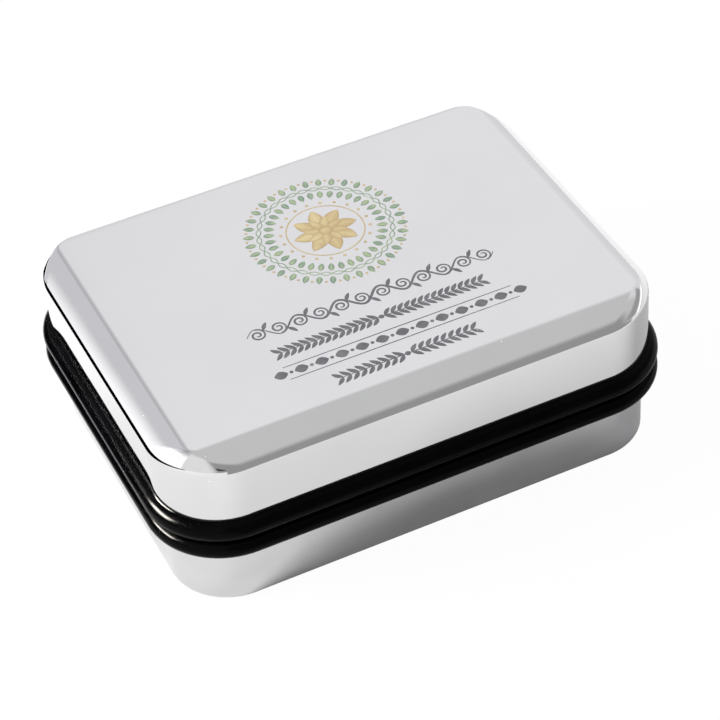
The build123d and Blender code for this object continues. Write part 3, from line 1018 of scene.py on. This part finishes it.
printForm = {
    "thickness": 0.006,        # of the ink, mm
    "levels": 3,               # heights that the shapes of one block take by turns
    "full": 0.8,               # power that rounds a leaf's outline: a smaller one makes it fuller
    "blunt": 0.02,             # share of its width that a leaf keeps at its ends
    "band": {
        "centre": (2.0, 10.2), "halfX": 11.7, "halfY": 12.0, "waves": 18, "sway": 0.42,
        "lineWidth": 0.2, "lineSteps": 361, "petals": 36, "petalOut": 0.75,
        "petalLength": 2.05, "petalWidth": 1.1, "dots": 36, "dotRadius": 0.26, "dotOut": 2.2,
    },
    "rosette": {
        "petals": 8, "petalLength": 4.9, "petalWidth": 2.7, "inner": 1.1, "steps": (9, 7),
        "rings": [(0.0, 1.0), (0.5, 0.66)],      # shift and scale of each ring of petals
        "core": 1.3, "coreSteps": 11, "hoop": 6.9, "hoopWidth": 0.24,
        "dots": 20, "dotRadius": 0.3, "dotOut": 7.9,
    },
    "scroll": {
        "y": -9.5, "left": -21.7, "right": 24.6, "bays": 12, "height": 1.5, "width": 0.5,
        "taper": 0.7, "steps": 400,
        "curl": {"radius": 1.45, "turns": 1.65, "shrink": 0.82, "up": 0.1, "width": 0.4, "taper": 0.5,
                 "steps": 40},
        "leaf": {"length": 2.1, "width": 0.75, "at": 0.85, "lean": 55.0},
    },
    "sprigRows": [
        # y, left end, right end, leaf pairs to each side of the middle
        (-15.5, -18.0, 18.7, 15),
        (-26.0, -11.7, 11.9, 9),
    ],
    "sprig": {"stem": 0.2, "stemTaper": 0.4, "stemSteps": 60, "length": 2.2, "width": 0.78,
              "lean": 44.0, "dot": 0.5},
    "chain": {
        "y": -20.7, "left": -20.5, "right": 23.9, "lozenges": 13, "length": 2.5, "width": 1.9,
        "skew": 1.0, "steps": (9, 5), "dot": 0.34,
        "rule": 0.2, "ruleUp": 1.6, "ruleIn": 1.0, "ruleTaper": 0.3, "ruleSteps": 40,
    },
}


def ovalPoint(form, turn, out):
    # point at a turn round the band's oval, moved out from it
    return (form["centre"][0] + (form["halfX"] + out) * np.cos(turn),
            form["centre"][1] + (form["halfY"] + out) * np.sin(turn))


def bandShapes(form):
    # two lines that cross each other round the oval, and a petal outward and inward of each crossing
    turn = np.linspace(0, 2 * np.pi, form["lineSteps"])
    sway = form["sway"] * np.sin(form["waves"] * turn)
    lines = [np.stack(ovalPoint(form, turn, sign * sway), -1) for sign in (-1, 1)]
    at = turnsOf(form["petals"])
    heading = np.arctan2(form["halfY"] * np.cos(at), -form["halfX"] * np.sin(at))
    petals = [leafShapes(*ovalPoint(form, at, side * form["petalOut"]), heading - side * np.pi / 2,
                         form["petalLength"], form["petalWidth"], bend=0.0) for side in (-1, 1)]
    return [strokeShapes(lines, form["lineWidth"]), *petals]


def goldShapes(band, rosette):
    # dots between the outer petals of the band, and a rosette of two rings of petals in its middle
    centre = band["centre"]
    petals = []
    for shift, scale in rosette["rings"]:
        turn = turnsOf(rosette["petals"], shift)
        petals.append(leafShapes(*around(centre, rosette["inner"] * scale, turn), turn,
                                 rosette["petalLength"] * scale, rosette["petalWidth"] * scale,
                                 rosette["steps"]))
    hoop = np.stack(around(centre, rosette["hoop"], np.linspace(0, 2 * np.pi, band["lineSteps"])), -1)
    return [
        discShapes(*ovalPoint(band, turnsOf(band["dots"], 0.5), band["dotOut"]), band["dotRadius"]),
        discShapes(*around(centre, rosette["dotOut"], turnsOf(rosette["dots"])), rosette["dotRadius"]),
        strokeShapes([hoop], rosette["hoopWidth"]),
        *petals,
        discShapes(*centre, rosette["core"], rosette["coreSteps"]),
    ]


def scrollShapes(form):
    # a running vine: y = height * sin(turn), with a curl in each bay, its radius shrinking as it
    # turns, and a leaf between each two bays
    curl, leaf = form["curl"], form["leaf"]
    bay = (form["right"] - form["left"]) / form["bays"]
    vine = straightPath(form["left"], form["right"], form["y"], form["steps"])
    vine[:, 1] += form["height"] * np.sin(np.pi * (vine[:, 0] - form["left"]) / bay)
    number = np.arange(form["bays"])
    side = np.where(number % 2 == 0, 1.0, -1.0)
    middle = form["left"] + (number + 0.5) * bay
    share = np.linspace(0, 1, curl["steps"])
    turn = np.pi / 2 + 2 * np.pi * curl["turns"] * share
    radius = curl["radius"] * (1 - curl["shrink"] * share)
    curlX = middle[:, None] - radius * np.cos(turn)
    curlY = form["y"] - side[:, None] * (curl["up"] - radius * np.sin(turn))
    rootX = middle + (leaf["at"] - 0.5) * bay
    rootY = form["y"] + side * form["height"] * np.sin(np.pi * leaf["at"])
    lean = side * np.radians(leaf["lean"])
    return [
        strokeShapes([vine], form["width"], form["taper"]),
        strokeShapes(np.stack([curlX, curlY], -1), curl["width"], curl["taper"]),
        leafShapes(rootX[:-1], rootY[:-1], lean[:-1], leaf["length"], leaf["width"]),
    ]


def sprigShapes(y, left, right, pairs, form):
    # a stem with pairs of leaves that lean away from the middle of the row, where a dot sits
    middle = (left + right) / 2
    place = np.linspace(left, right, 2 * pairs)
    outward = np.where(place < middle, -1.0, 1.0)
    stem = straightPath(left, right, y, form["stemSteps"])
    blocks = [strokeShapes([stem], form["stem"], form["stemTaper"])]
    for side in (-1, 1):
        heading = np.where(outward > 0, 0.0, np.pi) + side * outward * np.radians(form["lean"])
        blocks.append(leafShapes(place, y, heading, form["length"], form["width"]))
    blocks.append(discShapes(middle, y, form["dot"]))
    return blocks


def chainShapes(form):
    # lozenges and dots by turns between two thin rules
    place = np.linspace(form["left"], form["right"], form["lozenges"])
    left, right = form["left"] + form["ruleIn"], form["right"] - form["ruleIn"]
    rules = [straightPath(left, right, form["y"] + up, form["ruleSteps"])
             for up in (-form["ruleUp"], form["ruleUp"])]
    return [
        leafShapes(place - form["length"] / 2, form["y"], 0.0, form["length"], form["width"],
                   form["steps"], form["skew"], bend=0.0),
        discShapes((place[1:] + place[:-1]) / 2, form["y"], form["dot"]),
        strokeShapes(rules, form["rule"], form["ruleTaper"]),
    ]


def makeInkPiece(name, blocks, form, material):
    # every shape of every block in one mesh; height = panel + ink + (block + level) * step, so that
    # no two shapes that cross share a height, and all stay under the top of the CAD model
    panel = lidHigh[2] - lidForm["inkRoom"] + form["thickness"]
    step = (lidForm["inkRoom"] - form["thickness"]) / (len(blocks) + 1)
    points, uvs, faces = [], [], []
    count = 0
    for number, (flat, uv) in enumerate(blocks):
        level = np.arange(len(flat)) % form["levels"] / form["levels"]
        height = panel + step * (number + level[:, None, None, None] + np.zeros((*flat.shape[:-1], 1)))
        index = count + np.arange(flat[..., 0].size).reshape(flat.shape[:-1])
        faces.append(quadsOf(index))
        points.append(np.concatenate([flat, height], -1).reshape(-1, 3))
        uvs.append(uv.reshape(-1, 2))
        count += index.size
    obj = addPiece(name, np.concatenate(points), np.concatenate(faces).tolist(), material, "lid",
                   uv=np.concatenate(uvs), smooth=False)
    thicken(obj, form["thickness"])


def dress(material, *nodes):
    # gives CAD nodes that stay their finish
    for node in nodes:
        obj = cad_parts[node]
        obj.data.materials.clear()
        obj.data.materials.append(material)


makeCamera(cameraView)
makeWorld(studioLight)
for name, values in studioLight["lamps"].items():
    makeLamp(name, *values)
makeStage(stageSizes)
print("camera, light and floor ready")

finish = {name: makeFinish(name, look) for name, look in finishes.items()}
finish.update({name: makeCloth(name, look) for name, look in cloths.items()})
finish.update({name: makeInk(name, look) for name, look in inks.items()})
print("finishes ready")

makeLidShell(lidForm, finish["chromePlate"])
makeBaseShell(baseForm, finish["chromeBase"])
dress(finish["blackPlastic"], "lid_frame", "base_frame")
dress(finish["liningCloth"], "lid_lining", "base_lining")
dress(finish["greyBoard"], "lid_board", "insert_board")
dress(finish["hingeSteel"], "lid_hinge_leaf", "base_hinge_leaf")
dress(finish["rivetSteel"], "hinge_pin", "lid_rivets", "base_rivets")
print("shells, frames and hinge ready")

makePad("insert_cover", "insert_velvet", insertForm, insertRelief, finish["velvetPile"], "base", "velvet")
makePad("insert_block", "insert_foam", insertFoamForm, insertRelief, finish["foamBlock"], "base", "foam")
makePad("lid_pad_cover", "lid_satin", satinForm, satinRelief, finish["blackSatin"], "lid", "satin")
makePad("lid_pad_block", "lid_foam", satinFoamForm, satinRelief, finish["foamBlock"], "lid", "foam")
makeFelt(feltForm, finish["feltPile"])
makeRibbon(ribbonForm, finish["ribbonSatin"])
makeSpring(springForm, finish["springSteel"])
print("pads, felt, ribbon and spring ready")

greyBlocks = scrollShapes(printForm["scroll"]) + chainShapes(printForm["chain"])
for row in printForm["sprigRows"]:
    greyBlocks += sprigShapes(*row, printForm["sprig"])
makeInkPiece("lid_print_green", bandShapes(printForm["band"]), printForm, finish["greenInk"])
golden = goldShapes(printForm["band"], printForm["rosette"])
makeInkPiece("lid_print_gold", golden, printForm, finish["goldInk"])
makeInkPiece("lid_print_grey", greyBlocks, printForm, finish["greyInk"])
print("print ready")

bpy.context.scene.view_settings.view_transform = "Standard"
bpy.context.scene.view_settings.look = "None"
